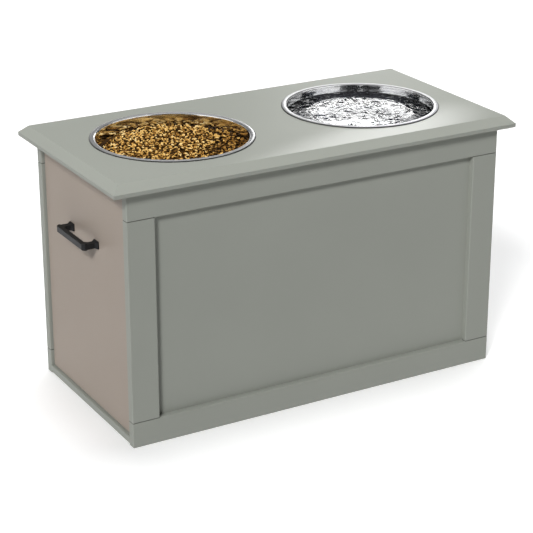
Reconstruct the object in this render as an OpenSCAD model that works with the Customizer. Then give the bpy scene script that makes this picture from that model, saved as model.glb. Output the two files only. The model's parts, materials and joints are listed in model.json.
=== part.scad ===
// Raised feeding station: a painted board cabinet with a big drawer in its left end,
// and two steel bowls that hang by their rims in the top board.
// X runs left to right along the long front, Y from front to back, Z up from the floor.
// The origin is on the floor, under the middle of the top board.

/* [Top board] */
// Length of the top board, left to right
top_w = 600; // [580:5:660]
// Depth of the top board, front to back
top_d = 300; // [292:2:330]
// Height of the top face above the floor
total_h = 360; // [330:5:400]
// Thickness of the top board
top_t = 15.5; // [13:0.5:18]
// Height of the bevel that runs round the top board
bevel_drop = 10; // [6:0.5:11]
// Width of that bevel, seen from above
bevel_run = 11; // [6:0.5:14]
// How far the top board passes the cabinet at each end
end_overhang = 21; // [14:1:26]
// How far it passes the cabinet at the front and the back
side_overhang = 12; // [8:0.5:15]

/* [Cabinet frame] */
// Thickness of the rails and stiles
frame_t = 12; // [11:0.5:14]
// Height of the upper rails
top_rail_h = 36; // [28:1:44]
// Height of the lower rails
bottom_rail_h = 35; // [30:1:42]
// Width of the stiles
stile_w = 38.5; // [32:0.5:46]
// Thickness of the thin panels
panel_t = 3.5; // [3:0.25:4]
// How far a thin panel reaches into its rebate
rebate = 8; // [6:0.5:9]
// Thickness of the closed end board
end_board_t = 12; // [10:0.5:15]
// Thickness of the floor board
base_t = 10; // [9:0.5:12]
// Height of the floor board's underside above the floor
base_lift = 2; // [1:0.5:4]
// Width and height of the battens under the top board
batten_w = 18; // [15:0.5:18]
// Size of the small chamfer that eases each board's edges
edge_ease = 0.8; // [0.4:0.1:1.2]

/* [Bowls] */
// Free space from a bowl's wall to the battens in front of it and behind it
batten_gap = 6.2; // [3:0.2:14]
// Share of the free length inside the cabinet that lies between the two rims
rim_gap_share = 0.69; // [0.5:0.01:0.95]
// Width of the rolled rim
rim_w = 8; // [6:0.5:9]
// Height of the rolled rim above the top board
rim_h = 2; // [1.8:0.2:4.2]
// Depth of a bowl, below the top face
bowl_depth = 62; // [50:1:70]
// Radius of the flat bottom
bowl_foot_r = 70; // [60:1:76]
// Thickness of the steel
bowl_t = 0.8; // [0.6:0.1:1.2]
// Level of the dry food at the bowl's wall, below the top face
food_edge = 11; // [9:1:30]
// Height of the food's crown over that level
food_crown = 4; // [2:0.5:6]
// Level of the water, below the top face
water_level = 9; // [6:1:20]

/* [Drawer] */
// Thickness of the drawer front
front_t = 12; // [10:0.5:15]
// How far the drawer front stands back from the cabinet's end
front_recess = 4; // [2:0.5:6]
// Gap at each side of the drawer front
front_side_gap = 2.5; // [1.5:0.25:3.5]
// Gap over the drawer front
front_top_gap = 2.5; // [1.5:0.25:4]
// Gap under the drawer front
front_bottom_gap = 1; // [0.5:0.25:1.5]
// Thickness of the drawer's sides and rear
box_t = 12; // [11:0.5:14]
// Thickness of the drawer bottom
drawer_bottom_t = 3.5; // [3:0.25:4]
// Height from the sides' lower edge to the drawer bottom
bottom_lift = 8; // [6:1:14]
// How deep the drawer bottom sits in its grooves
groove_depth = 6; // [4:0.5:7]
// Free space from the drawer box to the closed end board
rear_space = 20; // [16:1:30]
// Free height from the drawer box up to the bowls
bowl_space = 25; // [18:1:40]

/* [Pull] */
// Distance between the pull's two screws
pull_pitch = 76; // [64:2:96]
// How far the pull stands out from the drawer front
pull_out = 22; // [19:0.5:22.5]
// Thickness of the pull's bar, front to back
pull_bar_t = 7; // [6:0.5:8]
// Height of the pull's bar
pull_bar_h = 8; // [7:0.5:10]
// Width of each post
pull_post_w = 8.5; // [7.5:0.5:10]
// Width of each foot
pull_foot_w = 13; // [12:0.5:16]
// Height of each foot
pull_foot_h = 10; // [9:0.5:13]
// Height of the pull's middle above the floor
pull_z = 247; // [200:1:280]

/* [Runners] */
// Space for a runner, from the cabinet's wall to the drawer's side
runner_space = 12.5; // [12:0.25:14]
// Free space from the runners to the closed end board
runner_end_gap = 39; // [34:1:90]
// Height of the fixed runner
runner_h = 34; // [32:1:38]
// Thickness of the runners' sheet steel
runner_t = 1.2; // [1:0.1:1.4]
// Width of the runners' flanges
runner_flange = 8; // [7.5:0.25:8.5]
// Radius of a runner's roller
roller_r = 9; // [8:0.25:9.5]
// Width of a roller
roller_w = 7.5; // [6.5:0.25:8]
// Radius of a roller's pin
roller_pin_r = 2.5; // [2:0.1:3]

/* [Fasteners] */
// Radius of a dowel
dowel_r = 3; // [2.5:0.25:3.5]
// Length of a dowel
dowel_len = 28; // [22:1:32]
// Radius of a wood screw's shank
screw_r = 1.75; // [1.5:0.05:2]
// Length of a wood screw
screw_len = 26; // [24:0.5:28]
// Radius of a locking bolt
bolt_r = 3; // [2.5:0.25:3.25]
// Radius of a locking cam
cam_r = 6; // [5:0.25:7]

/* [Hidden] */

$fn = 96;
// Overrun of every cut past the face that it opens
cut = 1;
// Air round a dowel, screw, bolt or cam in its hole
fit = 0.1;
// Air between boards that slide together
board_gap = 0.3;
// Radial air of a roller on its pin
pin_gap = 0.05;
// Air between parts that pass each other
run_gap = 0.3;
// Air under a bowl's rim
seat_gap = 0.2;
// Air between a bowl and what is in it
content_gap = 0.3;
// Air between a bowl's wall and the hole in the top board
hole_gap = 2;

// Boards of the cabinet
under_top = total_h - top_t;
cab_w = top_w - 2 * end_overhang;
cab_d = top_d - 2 * side_overhang;
half_w = cab_w / 2;
half_d = cab_d / 2;
in_y = half_d - frame_t;
stile_z0 = bottom_rail_h;
stile_z1 = under_top - top_rail_h;
end_x = half_w - end_board_t;
base_top = base_lift + base_t;
panel_x = half_w - stile_w + rebate - board_gap;
panel_z0 = stile_z0 - rebate + board_gap;
panel_z1 = stile_z1 + rebate - board_gap;

// Drawer
front_x0 = -half_w + front_recess;
front_x1 = front_x0 + front_t;
front_y = in_y - front_side_gap;
front_z0 = base_top + front_bottom_gap;
front_z1 = under_top - front_top_gap;
box_x1 = end_x - rear_space;
box_y = in_y - runner_space;
box_in_y = box_y - box_t;

// Runners, drawn for the front side
runner_start_gap = 1;
runner_base_gap = 2;
fixed_x0 = front_x1 + runner_start_gap;
fixed_x1 = end_x - runner_end_gap;
fixed_z0 = base_top + runner_base_gap;
fixed_z1 = fixed_z0 + runner_h;
track_z = fixed_z0 + runner_t;
fixed_axle_inset = 12;
fixed_axle_x = fixed_x0 + fixed_axle_inset;
roller_rise = 3;
moving_axle_inset = 43;
moving_axle_x = fixed_x1 - moving_axle_inset;
moving_axle_z = track_z + run_gap + roller_r;
fixed_axle_z = moving_axle_z + roller_rise;
moving_flange_z = fixed_axle_z + roller_r + run_gap;
sole_drop = 16;
box_z0 = moving_flange_z - sole_drop + runner_t;
box_z1 = total_h - bowl_depth - bowl_space;
moving_tail = 18;
moving_x1 = fixed_x1 - moving_tail;
pin_head_r = 4;
pin_head_t = 0.8;
pin_flush = 0.2;
bottom_z0 = box_z0 + bottom_lift;
sole_w = 10;
web_y = in_y - runner_t;
moving_web_y = box_y + runner_t;

// Bowls
bowl_mouth_r = in_y - batten_w - batten_gap - bowl_t;
rim_r = bowl_mouth_r + rim_w;
hole_r = bowl_mouth_r + bowl_t + hole_gap;
free_len = end_x - front_x1 - 2 * hole_r - 2 * rim_r;
bowl_x = rim_r + free_len * rim_gap_share / 2;
wall_lean_share = 0.12;
wall_steps = 16;
rim_steps = 12;
t_step = 0.001;

// Wood screws
screw_head_r = 3.5;
screw_head_t = 2;
pan_head_t = 1;
short_screw = 11;
screw_tip_gap = 2;
sole_screw = runner_t + bottom_lift - screw_tip_gap;
batten_screw_shares = [0.06, 0.36, 0.64, 0.94];
batten_inset = 8;
batten_x0 = front_x1 + batten_inset;
batten_x1 = end_x;

// Dowels and locks
frame_dowel_shares = [0.25, 0.6];
end_dowel_shares = [0.14, 0.5, 0.86];
end_dowel_depth = 9;
base_lock_shares = [0.12, 0.5, 0.88];
bolt_len = 26;
bolt_bite = 8;
bolt_neck_r = 1.9;
bolt_head_len = 3;
bolt_grip = 3;
bolt_reach = bolt_len - cam_r + bolt_grip;
cam_cover = 2;
cam_slot_w = 1.6;
cam_slot_depth = 1;
drawer_lock_shares = [0.2, 0.8];
rear_screw_shares = [0.12, 0.5, 0.88];
fixed_screw_insets = [30, 58];
fixed_screw_tail_insets = [9, 22];
runner_screw_z = 6;
moving_screw_shares = [0.08, 0.5, 0.92];

// Pull
pull_foot_t = 1.6;
pull_flare = 3.4;
pull_corner = 3.5;
pull_post_h = pull_bar_h - edge_ease;
pull_screw_r = 2;
pull_screw_bite = 10;
pull_screw_head_r = 3.8;
pull_screw_head_t = 2.2;
bar_swell = 0.5;

// Colours
paint = [0.56, 0.575, 0.545];
taupe = [0.62, 0.58, 0.54];
raw_board = [0.80, 0.70, 0.55];
zinc = [0.75, 0.76, 0.78];
white_steel = [0.90, 0.90, 0.88];

// A board's cross section with its corners cut off
module eased_outline(w, h, ease) {
  polygon([[ease, 0], [w - ease, 0], [w, ease], [w, h - ease],
           [w - ease, h], [ease, h], [0, h - ease], [0, ease]]);
}

// A board from its low corner to its high corner, all edges eased
module board(lo, hi, ease = edge_ease) {
  s = hi - lo;
  translate(lo) intersection() {
    linear_extrude(s.z) eased_outline(s.x, s.y, ease);
    translate([0, s.y, 0]) rotate([90, 0, 0]) linear_extrude(s.y) eased_outline(s.x, s.z, ease);
    rotate([90, 0, 90]) linear_extrude(s.x) eased_outline(s.y, s.z, ease);
  }
}

// A plain box between two corners, for cuts and sheet metal
module box(lo, hi) {
  translate(lo) cube(hi - lo);
}

module at_back() {
  mirror([0, 1, 0]) children();
}

function between(a, b, share) = a + (b - a) * share;

// A countersunk wood screw along +Z, its head's flat face at zero
module wood_screw(len, air = 0) {
  cylinder(h = screw_head_t, r1 = screw_head_r + air, r2 = screw_r + air);
  cylinder(h = len + air, r = screw_r + air);
}

// A pan-head screw along +Z, its head under zero
module pan_screw(len, r, head_r, head_t, air = 0) {
  translate([0, 0, -head_t]) cylinder(h = head_t, r = head_r + air);
  cylinder(h = len + air, r = r + air);
}

// A dowel along Z, centred on the joint
module dowel(len, air = 0) {
  cylinder(h = len + 2 * air, r = dowel_r + air, center = true);
}

// A locking bolt along +Z: it bites under zero and its neck reaches into the cam
module lock_bolt(air = 0) {
  translate([0, 0, -bolt_bite - air]) cylinder(h = bolt_bite + air, r = bolt_r + air);
  cylinder(h = bolt_reach, r = (air > 0 ? bolt_r : bolt_neck_r) + air);
  translate([0, 0, bolt_reach - bolt_head_len]) cylinder(h = bolt_head_len + air, r = bolt_r + air);
}

// A locking cam along +Z, its slotted face at zero
module lock_cam(depth) {
  difference() {
    cylinder(h = depth, r = cam_r);
    translate([-cam_r, -cam_slot_w / 2, -cut]) cube([2 * cam_r, cam_slot_w, cut + cam_slot_depth]);
  }
}

// Places for what repeats along the cabinet
module at_batten_screws(shares) {
  for (s = shares) translate([between(batten_x0, batten_x1, s), 0, 0]) children();
}

module frame_dowel_set(air = 0) {
  for (side = [-1, 1]) for (s = frame_dowel_shares) for (z = [stile_z0, stile_z1])
    translate([side * (half_w - stile_w * s), -half_d + frame_t / 2, z]) dowel(dowel_len, air);
}

module end_dowel_set(air = 0) {
  for (side = [-1, 1]) for (s = end_dowel_shares)
    translate([end_x + end_board_t / 2, side * in_y, between(stile_z0, stile_z1, s)])
      rotate([90, 0, 0]) dowel(2 * end_dowel_depth, air);
}

module base_bolt_set(air = 0) {
  for (side = [-1, 1]) for (s = base_lock_shares)
    translate([between(-half_w, end_x, s), side * in_y, base_lift + base_t / 2])
      rotate([side * 90, 0, 0]) lock_bolt(air);
}

module at_base_cams() {
  for (side = [-1, 1]) for (s = base_lock_shares)
    translate([between(-half_w, end_x, s), side * (in_y - bolt_len), base_lift]) children();
}

module base_cam_set() {
  at_base_cams() lock_cam(base_t - cam_cover);
}

module top_screw_set(side, air = 0) {
  at_batten_screws(batten_screw_shares)
    translate([0, side * (in_y - batten_w / 2), under_top - batten_w]) wood_screw(screw_len, air);
}

module batten_screw_set(side, air = 0) {
  at_batten_screws(batten_screw_shares)
    translate([batten_w / 2, side * (in_y - batten_w), under_top - batten_w / 2])
      rotate([side * -90, 0, 0]) wood_screw(screw_len, air);
}

// Screws that hold the fixed runners to the lower rails
module fixed_screw_set(side, air = 0) {
  xs = concat([for (i = fixed_screw_insets) fixed_x0 + i],
              [for (i = fixed_screw_tail_insets) fixed_x1 - i]);
  for (x = xs) translate([x, side * web_y, fixed_z0 + runner_screw_z])
    rotate([side * -90, 0, 0]) pan_screw(short_screw, screw_r, screw_head_r, pan_head_t, air);
}

// Screws that hold the moving runners under the drawer's sides
module moving_screw_set(side, air = 0) {
  for (s = moving_screw_shares)
    translate([between(front_x1, moving_x1, s), side * (box_y - box_t / 2), box_z0 - runner_t])
      pan_screw(sole_screw, screw_r, screw_head_r, pan_head_t, air);
}

module pull_screw_set(air = 0) {
  for (side = [-1, 1]) translate([front_x1, side * pull_pitch / 2, pull_z]) rotate([0, -90, 0])
    pan_screw(front_t + pull_screw_bite, pull_screw_r, pull_screw_head_r, pull_screw_head_t, air);
}

// Locking bolts from the drawer front into the drawer's sides
module drawer_bolt_set(side, air = 0) {
  for (s = drawer_lock_shares)
    translate([front_x1, side * (box_y - box_t / 2), between(box_z0, box_z1, s)])
      rotate([0, 90, 0]) lock_bolt(air);
}

module at_drawer_cams(side) {
  for (s = drawer_lock_shares)
    translate([front_x1 + bolt_len, side * box_in_y, between(box_z0, box_z1, s)])
      rotate([side * -90, 0, 0]) children();
}

module drawer_screw_set(side, air = 0) {
  for (s = rear_screw_shares)
    translate([box_x1 - box_t / 2, side * box_y, between(bottom_z0 + drawer_bottom_t, box_z1, s)])
      rotate([side * 90, 0, 0]) wood_screw(screw_len, air);
}

// Cabinet boards

module bevelled_edge(w) {
  polygon([[-w / 2 + edge_ease, 0], [w / 2 - edge_ease, 0], [w / 2, edge_ease],
           [w / 2, top_t - bevel_drop], [w / 2 - bevel_run, top_t],
           [-w / 2 + bevel_run, top_t], [-w / 2, top_t - bevel_drop], [-w / 2, edge_ease]]);
}

module top_board() {
  color(paint) difference() {
    translate([0, 0, under_top]) intersection() {
      translate([0, top_d / 2, 0]) rotate([90, 0, 0]) linear_extrude(top_d) bevelled_edge(top_w);
      translate([-top_w / 2, 0, 0]) rotate([90, 0, 90]) linear_extrude(top_w) bevelled_edge(top_d);
    }
    for (side = [-1, 1]) translate([side * bowl_x, 0, under_top - cut])
      cylinder(h = top_t + 2 * cut, r = hole_r);
    for (side = [-1, 1]) top_screw_set(side, fit);
  }
}

module rebate_cut() {
  box([-panel_x - board_gap, -half_d + frame_t - panel_t, panel_z0 - board_gap],
      [panel_x + board_gap, -half_d + frame_t + cut, panel_z1 + board_gap]);
}

module top_rail() {
  color(paint) difference() {
    board([-half_w, -half_d, stile_z1], [half_w, -in_y, under_top]);
    rebate_cut();
    frame_dowel_set(fit);
    batten_screw_set(-1, fit);
  }
}

module bottom_rail() {
  color(paint) difference() {
    board([-half_w, -half_d, 0], [half_w, -in_y, stile_z0]);
    rebate_cut();
    frame_dowel_set(fit);
    base_bolt_set(fit);
    fixed_screw_set(-1, fit);
  }
}

module stile(side) {
  xs = side < 0 ? [-half_w, -half_w + stile_w] : [half_w - stile_w, half_w];
  color(paint) difference() {
    board([xs[0], -half_d, stile_z0], [xs[1], -in_y, stile_z1]);
    rebate_cut();
    frame_dowel_set(fit);
    end_dowel_set(fit);
  }
}

module thin_panel() {
  color(paint)
    box([-panel_x, -half_d + frame_t - panel_t + fit, panel_z0], [panel_x, -in_y, panel_z1]);
}

module front_top_rail() { top_rail(); }
module front_bottom_rail() { bottom_rail(); }
module front_left_stile() { stile(-1); }
module front_right_stile() { stile(1); }
module front_panel() { thin_panel(); }
module back_top_rail() { at_back() top_rail(); }
module back_bottom_rail() { at_back() bottom_rail(); }
module back_left_stile() { at_back() stile(-1); }
module back_right_stile() { at_back() stile(1); }
module back_panel() { at_back() thin_panel(); }

module end_board() {
  color(paint) difference() {
    board([end_x, -in_y, 0], [half_w, in_y, under_top]);
    end_dowel_set(fit);
  }
}

module base_board() {
  color(paint) difference() {
    board([-half_w, -in_y, base_lift], [end_x, in_y, base_top]);
    base_bolt_set(fit);
    at_base_cams() translate([0, 0, -cut])
      cylinder(h = base_t - cam_cover + cut + fit, r = cam_r + fit);
  }
}

module batten() {
  color(raw_board) difference() {
    board([batten_x0, -in_y, under_top - batten_w], [batten_x1, -in_y + batten_w, under_top]);
    top_screw_set(-1, fit);
    batten_screw_set(-1, fit);
  }
}

module front_batten() { batten(); }
module back_batten() { at_back() batten(); }

// Cabinet fasteners

module front_dowels() { color("burlywood") frame_dowel_set(); }
module back_dowels() { color("burlywood") at_back() frame_dowel_set(); }
module end_dowels() { color("burlywood") end_dowel_set(); }
module top_screws() { color(zinc) for (side = [-1, 1]) top_screw_set(side); }
module batten_screws() { color(zinc) for (side = [-1, 1]) batten_screw_set(side); }
module base_bolts() { color(zinc) base_bolt_set(); }

// Each cam is a slotted barrel with a channel for its bolt's head
module base_cams() {
  color(zinc) difference() {
    base_cam_set();
    base_bolt_set(fit);
  }
}

// Runners, drawn for the front side

module fixed_runner() {
  color(white_steel) difference() {
    union() {
      box([fixed_x0, -in_y, fixed_z0], [fixed_x1, -web_y, fixed_z1]);
      for (z = [fixed_z0, fixed_z1 - runner_t])
        box([fixed_x0, -in_y, z], [fixed_x1, -web_y + runner_flange, z + runner_t]);
    }
    fixed_screw_set(-1, fit);
    translate([fixed_axle_x, -in_y - cut, fixed_axle_z]) rotate([-90, 0, 0])
      cylinder(h = runner_t + 2 * cut, r = roller_pin_r + fit);
  }
}

module moving_runner() {
  color(white_steel) difference() {
    union() {
      box([front_x1, -moving_web_y, box_z0 - runner_t],
          [moving_x1, -box_y, moving_flange_z + runner_t]);
      box([front_x1, -moving_web_y - runner_flange, moving_flange_z],
          [moving_x1, -box_y, moving_flange_z + runner_t]);
      box([front_x1, -moving_web_y, box_z0 - runner_t], [moving_x1, -box_y + sole_w, box_z0]);
    }
    moving_screw_set(-1, fit);
    translate([moving_axle_x, -moving_web_y - cut, moving_axle_z]) rotate([-90, 0, 0])
      cylinder(h = runner_t + 2 * cut, r = roller_pin_r + fit);
  }
}

// A pin along +Z from the sheet's far face, its head past the roller
module roller_pin() {
  cylinder(h = runner_t + run_gap + roller_w + pin_flush, r = roller_pin_r);
  translate([0, 0, runner_t + run_gap + roller_w + pin_flush]) cylinder(h = pin_head_t, r = pin_head_r);
}

module at_fixed_axle() {
  translate([fixed_axle_x, -in_y, fixed_axle_z]) rotate([-90, 0, 0]) children();
}

module at_moving_axle() {
  translate([moving_axle_x, -box_y, moving_axle_z]) rotate([90, 0, 0]) children();
}

// A grooved nylon wheel that turns on its pin
module roller() {
  translate([0, 0, runner_t + run_gap]) rotate_extrude()
    polygon([[roller_pin_r + pin_gap, 0], [roller_r - edge_ease, 0], [roller_r, edge_ease],
             [roller_r, roller_w - edge_ease], [roller_r - edge_ease, roller_w],
             [roller_pin_r + pin_gap, roller_w]]);
}

module front_fixed_runner() { fixed_runner(); }
module back_fixed_runner() { at_back() fixed_runner(); }
module front_moving_runner() { moving_runner(); }
module back_moving_runner() { at_back() moving_runner(); }
module fixed_runner_screws() { color(zinc) for (side = [-1, 1]) fixed_screw_set(side); }
module moving_runner_screws() { color(zinc) for (side = [-1, 1]) moving_screw_set(side); }

module fixed_roller_pins() {
  color(zinc) {
    at_fixed_axle() roller_pin();
    at_back() at_fixed_axle() roller_pin();
  }
}

module moving_roller_pins() {
  color(zinc) {
    at_moving_axle() roller_pin();
    at_back() at_moving_axle() roller_pin();
  }
}

module front_fixed_roller() { color("whitesmoke") at_fixed_axle() roller(); }
module back_fixed_roller() { color("whitesmoke") at_back() at_fixed_axle() roller(); }
module front_moving_roller() { color("whitesmoke") at_moving_axle() roller(); }
module back_moving_roller() { color("whitesmoke") at_back() at_moving_axle() roller(); }

// Drawer boards

module bottom_groove() {
  y = box_in_y + groove_depth;
  box([front_x1 - groove_depth, -y, bottom_z0 - board_gap / 2],
      [box_x1 - box_t + groove_depth, y, bottom_z0 + drawer_bottom_t + board_gap / 2]);
}

module drawer_front() {
  color(taupe) difference() {
    board([front_x0, -front_y, front_z0], [front_x1, front_y, front_z1]);
    bottom_groove();
    for (side = [-1, 1]) drawer_bolt_set(side, fit);
    pull_screw_set(fit);
  }
}

module drawer_side(side) {
  ys = side < 0 ? [-box_y, -box_in_y] : [box_in_y, box_y];
  color(raw_board) difference() {
    board([front_x1, ys[0], box_z0], [box_x1, ys[1], box_z1]);
    bottom_groove();
    drawer_bolt_set(side, fit);
    at_drawer_cams(side) translate([0, 0, -cut])
      cylinder(h = box_t - cam_cover + cut + fit, r = cam_r + fit);
    drawer_screw_set(side, fit);
    moving_screw_set(side, fit);
  }
}

module drawer_front_side() { drawer_side(-1); }
module drawer_back_side() { drawer_side(1); }

module drawer_rear() {
  color(raw_board) difference() {
    board([box_x1 - box_t, -box_in_y, box_z0], [box_x1, box_in_y, box_z1]);
    bottom_groove();
    for (side = [-1, 1]) drawer_screw_set(side, fit);
  }
}

module drawer_bottom() {
  y = box_in_y + groove_depth - board_gap;
  color(raw_board)
    box([front_x1 - groove_depth + board_gap, -y, bottom_z0],
        [box_x1 - box_t + groove_depth - board_gap, y, bottom_z0 + drawer_bottom_t]);
}

module drawer_bolts() { color(zinc) for (side = [-1, 1]) drawer_bolt_set(side); }

module drawer_cams() {
  color(zinc) difference() {
    for (side = [-1, 1]) at_drawer_cams(side) lock_cam(box_t - cam_cover);
    for (side = [-1, 1]) drawer_bolt_set(side, fit);
  }
}

module drawer_screws() { color(zinc) for (side = [-1, 1]) drawer_screw_set(side); }

// The pull: one bar with two posts on flared feet, seen from above and from the side

module pull_plan() {
  e = pull_pitch / 2;
  post = pull_post_w / 2;
  foot = pull_foot_w / 2;
  neck = pull_foot_t + pull_flare;
  half = [[0, e + foot], [pull_foot_t, e + foot], [neck, e + post], [pull_out - pull_corner, e + post],
          [pull_out, e + post - pull_corner]];
  inner = [[pull_out - pull_bar_t, e - post - pull_corner],
           [pull_out - pull_bar_t - pull_corner, e - post], [neck, e - post],
           [pull_foot_t, e - foot], [0, e - foot]];
  polygon(concat(half, [for (i = [len(half) - 1 : -1 : 0]) [half[i].x, -half[i].y]],
                 [for (i = [len(inner) - 1 : -1 : 0]) [inner[i].x, -inner[i].y]], inner));
}

module pull_side() {
  foot = pull_foot_h / 2;
  post = pull_post_h / 2;
  bar = pull_bar_h / 2 + bar_swell;
  neck = pull_foot_t + pull_flare;
  bar_u = pull_out - pull_bar_t;
  polygon([[0, -foot], [pull_foot_t, -foot], [neck, -post], [bar_u, -post], [bar_u + edge_ease, -bar],
           [pull_out - edge_ease, -bar], [pull_out, -bar + edge_ease], [pull_out, bar - edge_ease],
           [pull_out - edge_ease, bar], [bar_u + edge_ease, bar], [bar_u, post], [neck, post],
           [pull_foot_t, foot], [0, foot]]);
}

module pull() {
  span = pull_pitch + pull_foot_w;
  color("dimgray") difference() {
    translate([front_x0, 0, pull_z]) mirror([1, 0, 0]) intersection() {
      translate([0, 0, -pull_foot_h]) linear_extrude(2 * pull_foot_h) pull_plan();
      translate([0, span, 0]) rotate([90, 0, 0]) linear_extrude(2 * span) pull_side();
    }
    pull_screw_set(fit);
  }
}

module pull_screws() { color(zinc) pull_screw_set(); }

// Bowls, drawn with the top board's upper face at zero

// The wall's inner face is a smooth curve from the mouth down to the flat bottom
function wall_point(t) =
  let (lean = (bowl_mouth_r - bowl_foot_r) * wall_lean_share, u = 1 - t)
  [u * u * bowl_mouth_r + 2 * u * t * (bowl_mouth_r - lean) + t * t * bowl_foot_r,
   -(bowl_depth - bowl_t) * (2 * t - t * t)];
function wall_normal(t) =
  let (d = wall_point(t + t_step) - wall_point(t - t_step)) [-d.y, d.x] / norm(d);
function wall_skin(t, off) = wall_point(t) + off * wall_normal(t);
function wall_share_at(level) = 1 - sqrt(1 - level / (bowl_depth - bowl_t));

// The rim rolls over from the mouth to its outer edge as half an oval
function rim_point(a, off) =
  [bowl_mouth_r + rim_w / 2 - (rim_w / 2 - off) * cos(a),
   seat_gap + (rim_h - seat_gap - off) * sin(a)];

module bowl() {
  outer = concat(
    [for (i = [rim_steps : -1 : 0]) rim_point(180 * i / rim_steps, 0)],
    [for (i = [1 : wall_steps]) wall_skin(i / wall_steps, 0)],
    [[0, -bowl_depth + bowl_t]]);
  inner = concat(
    [[0, -bowl_depth]],
    [for (i = [wall_steps : -1 : 1]) wall_skin(i / wall_steps, bowl_t)],
    [for (i = [0 : rim_steps]) rim_point(180 * i / rim_steps, bowl_t)]);
  rotate_extrude() polygon(concat(outer, inner));
}

// What lies in a bowl: it follows the wall up to its level, with a crown in the middle
module contents(level, crown) {
  t0 = wall_share_at(level);
  side = [for (i = [0 : wall_steps])
    wall_skin(between(t0, 1, i / wall_steps), -content_gap)];
  edge = side[0];
  top = [for (i = [0 : rim_steps])
    [edge.x * i / rim_steps, edge.y + crown * (1 - pow(i / rim_steps, 2))]];
  rotate_extrude() polygon(concat(top, [for (i = [1 : wall_steps]) side[i]],
                                  [[0, -bowl_depth + bowl_t + content_gap]]));
}

module at_bowl(side) { translate([side * bowl_x, 0, total_h]) children(); }
module bowl_left() { color("silver") at_bowl(-1) bowl(); }
module bowl_right() { color("silver") at_bowl(1) bowl(); }
module food() { color("peru") at_bowl(-1) contents(food_edge, food_crown); }
module water() { color("lightblue") at_bowl(1) contents(water_level, 0); }

top_board();
front_top_rail();
front_bottom_rail();
front_left_stile();
front_right_stile();
front_panel();
back_top_rail();
back_bottom_rail();
back_left_stile();
back_right_stile();
back_panel();
end_board();
base_board();
front_batten();
back_batten();
front_dowels();
back_dowels();
end_dowels();
top_screws();
batten_screws();
base_bolts();
base_cams();
front_fixed_runner();
back_fixed_runner();
fixed_runner_screws();
fixed_roller_pins();
front_fixed_roller();
back_fixed_roller();
drawer_front();
drawer_front_side();
drawer_back_side();
drawer_rear();
drawer_bottom();
drawer_bolts();
drawer_cams();
drawer_screws();
pull();
pull_screws();
front_moving_runner();
back_moving_runner();
moving_runner_screws();
moving_roller_pins();
front_moving_roller();
back_moving_roller();
bowl_left();
bowl_right();
food();
water();
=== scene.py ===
# %% [markdown]
# # A raised feeding station
#
# The station is a painted board cabinet with a bevelled top. Two steel bowls hang by their rims in
# round holes, and one big drawer with a black pull fills its left end. The construction comes packed
# as a frame, at its real size, and this lesson dresses it: softened board edges, spun steel, a heap
# of dry food, rippled water, real screws, and a procedural finish on every piece.

# %% Load the frame
import json
import math

import bmesh
import bpy
import numpy as np
from mathutils import Matrix, Vector


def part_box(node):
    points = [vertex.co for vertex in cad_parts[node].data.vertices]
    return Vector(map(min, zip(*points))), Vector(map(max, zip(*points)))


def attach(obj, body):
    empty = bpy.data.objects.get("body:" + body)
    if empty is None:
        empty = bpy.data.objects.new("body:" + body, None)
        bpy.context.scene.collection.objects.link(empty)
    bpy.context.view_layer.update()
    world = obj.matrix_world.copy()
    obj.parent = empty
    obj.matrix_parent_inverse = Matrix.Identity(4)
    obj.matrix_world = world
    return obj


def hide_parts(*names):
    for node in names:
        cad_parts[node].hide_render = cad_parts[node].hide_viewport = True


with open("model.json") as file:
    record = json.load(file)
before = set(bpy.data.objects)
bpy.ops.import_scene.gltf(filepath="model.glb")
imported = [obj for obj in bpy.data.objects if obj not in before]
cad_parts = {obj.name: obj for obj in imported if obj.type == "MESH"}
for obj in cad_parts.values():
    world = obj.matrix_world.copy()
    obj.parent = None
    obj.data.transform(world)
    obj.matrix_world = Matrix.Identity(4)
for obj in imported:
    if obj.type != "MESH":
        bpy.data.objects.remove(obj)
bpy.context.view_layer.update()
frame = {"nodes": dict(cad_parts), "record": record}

MM = 0.001

# %% [markdown]
# ## Nodes written as sums
#
# Shader and Geometry Nodes trees are easier to read as expressions than as boxes and wires. A Wire
# wraps one output socket, and its operators add Math nodes. A Tree makes every other node: its type,
# its settings, then the values or wires of its sockets. `apart` splits a vector into three numbers,
# and `joined` makes a vector of three. All of it works in either kind of tree.

# %% Wires and trees
class Wire:
    def __init__(self, tree, socket):
        self.tree, self.socket = tree, socket

    def math(self, operation, *others):
        made = self.tree.node("ShaderNodeMath", {"operation": operation}, dict(enumerate((self, *others))))
        return made.out()

    def __add__(self, other): return self.math("ADD", other)
    def __radd__(self, other): return self.math("ADD", other)
    def __sub__(self, other): return self.math("SUBTRACT", other)
    def __rsub__(self, other): return self.math("MULTIPLY_ADD", -1.0, other)
    def __mul__(self, other): return self.math("MULTIPLY", other)
    def __rmul__(self, other): return self.math("MULTIPLY", other)
    def __truediv__(self, other): return self.math("DIVIDE", other)
    def __pow__(self, other): return self.math("POWER", other)


class Made:
    def __init__(self, tree, node):
        self.tree, self.node = tree, node

    def out(self, name=0):
        return Wire(self.tree, self.node.outputs[name])


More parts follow.
